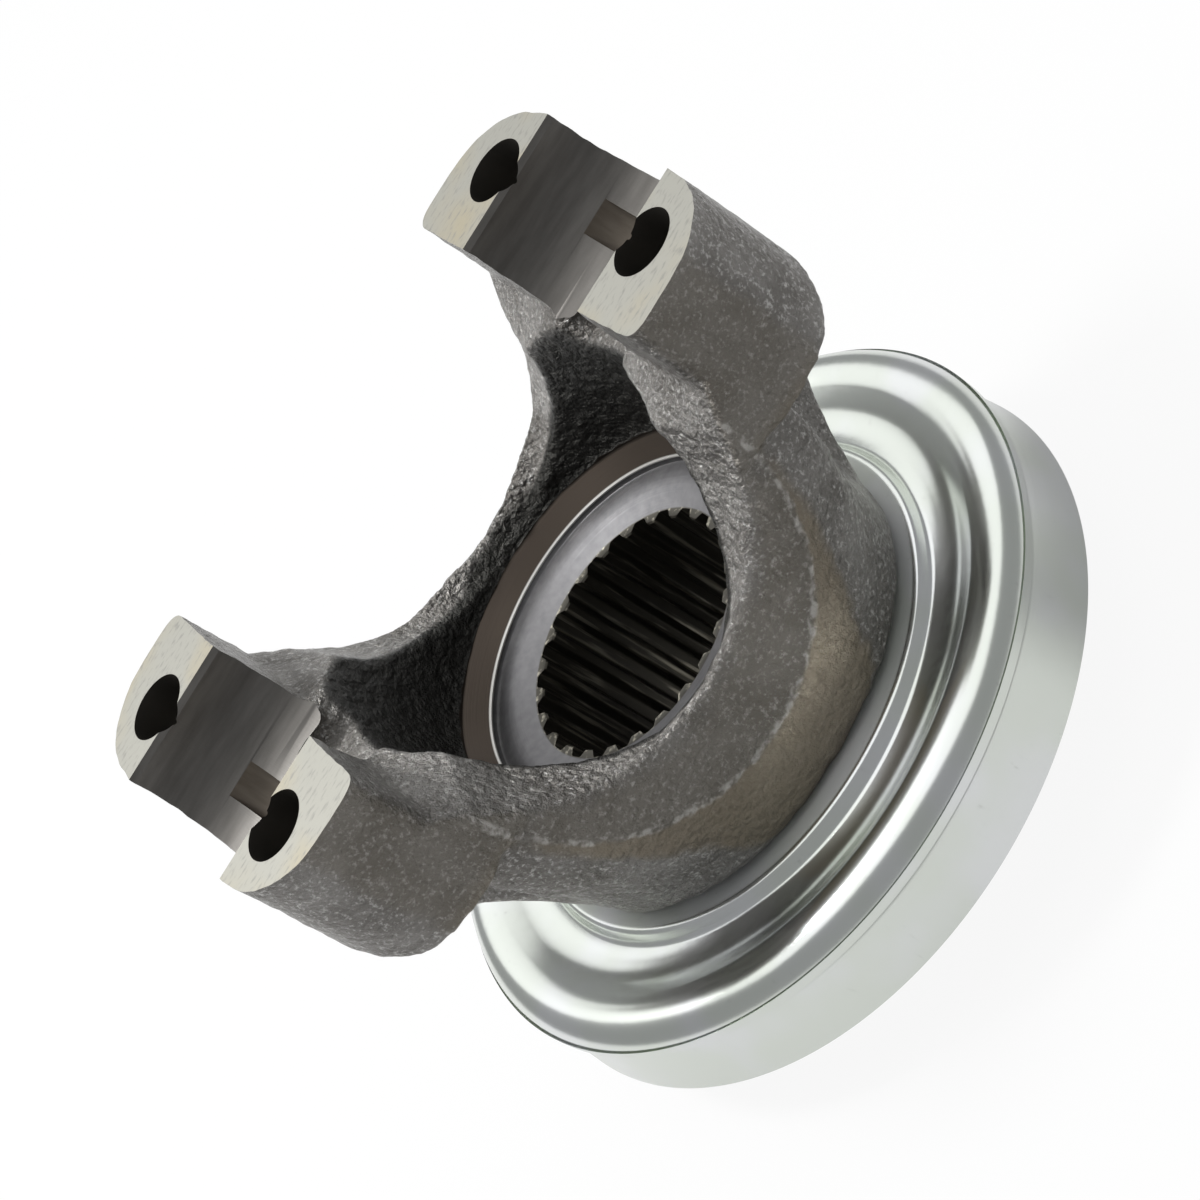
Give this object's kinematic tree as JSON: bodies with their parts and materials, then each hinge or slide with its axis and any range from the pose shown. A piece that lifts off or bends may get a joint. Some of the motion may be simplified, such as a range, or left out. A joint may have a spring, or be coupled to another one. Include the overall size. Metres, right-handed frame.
{
  "type": "differential end yoke",
  "caption": "Forged half-round end yoke with U-bolt ears, a splined hub, a seal journal and a pressed dust shield, for coupling a propeller shaft to an axle pinion.",
  "frame": {"origin": "hub axis at the rear face that butts on the pinion bearing", "axes": "+Z along the hub axis towards the ears, +X along the trunnion line of the cross"},
  "size_m": [0.091, 0.091, 0.074],
  "materials": {
    "forged_steel": "shot-blasted forging skin with milled lands and saddles and a turned bore",
    "zinc_plate": "glossy clear zinc plate on pressed sheet steel"
  },
  "bodies": {
    "root": {"yoke_forging": "forged_steel", "dust_shield": "zinc_plate"}
  },
  "joints": []
}
